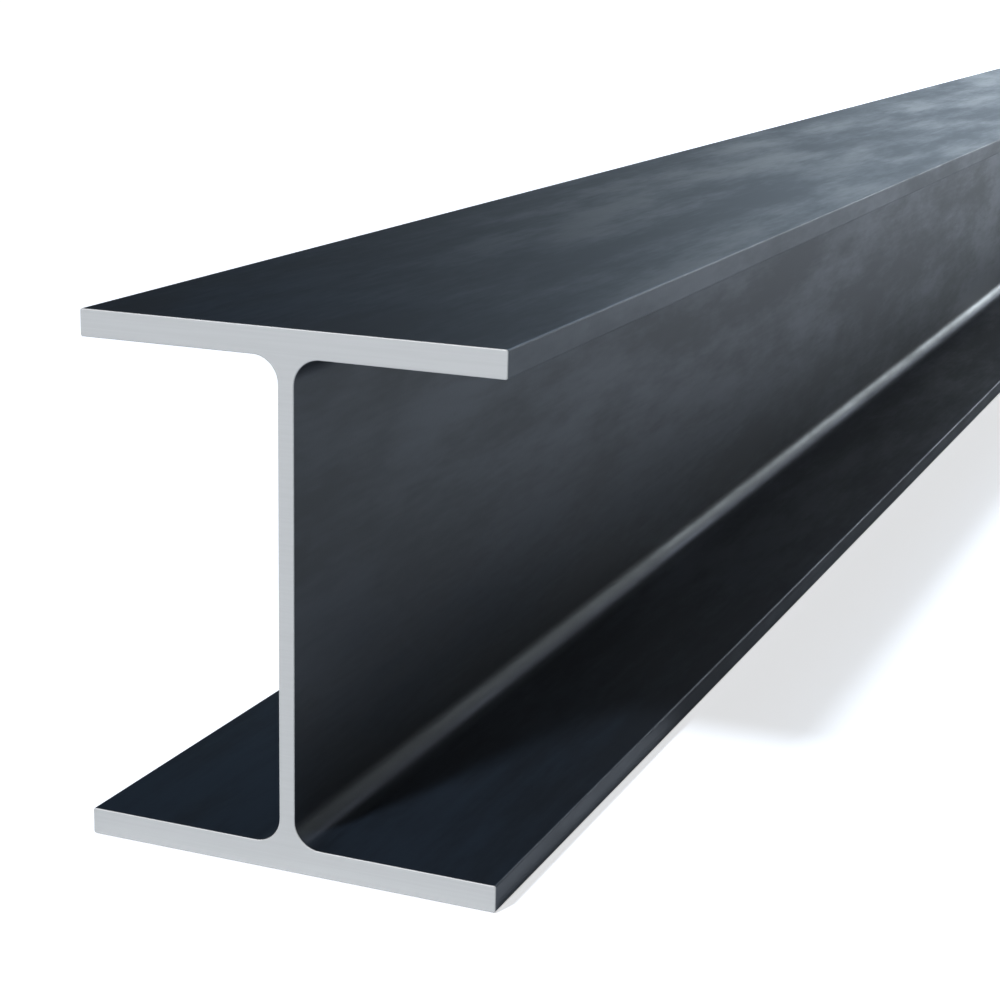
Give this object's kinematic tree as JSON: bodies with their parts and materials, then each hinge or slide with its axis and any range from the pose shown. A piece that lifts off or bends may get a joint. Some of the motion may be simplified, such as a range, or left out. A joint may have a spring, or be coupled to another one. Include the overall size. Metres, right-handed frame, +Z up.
{
  "type": "steel i-beam",
  "caption": "Hot-rolled wide-flange steel beam, sawn square at both ends, with rounded web-to-flange roots; structural member that carries load in bending.",
  "frame": {"origin": "half way along the beam, at the middle of the bottom flange's underside", "axes": "+X along the beam, +Y across the flanges, +Z up the web; at rest it stands on its bottom flange"},
  "size_m": [3.048, 0.165, 0.2014],
  "materials": {
    "mill_scale_steel": "satin"
  },
  "bodies": {
    "root": {"i_beam": "mill_scale_steel"}
  },
  "joints": []
}
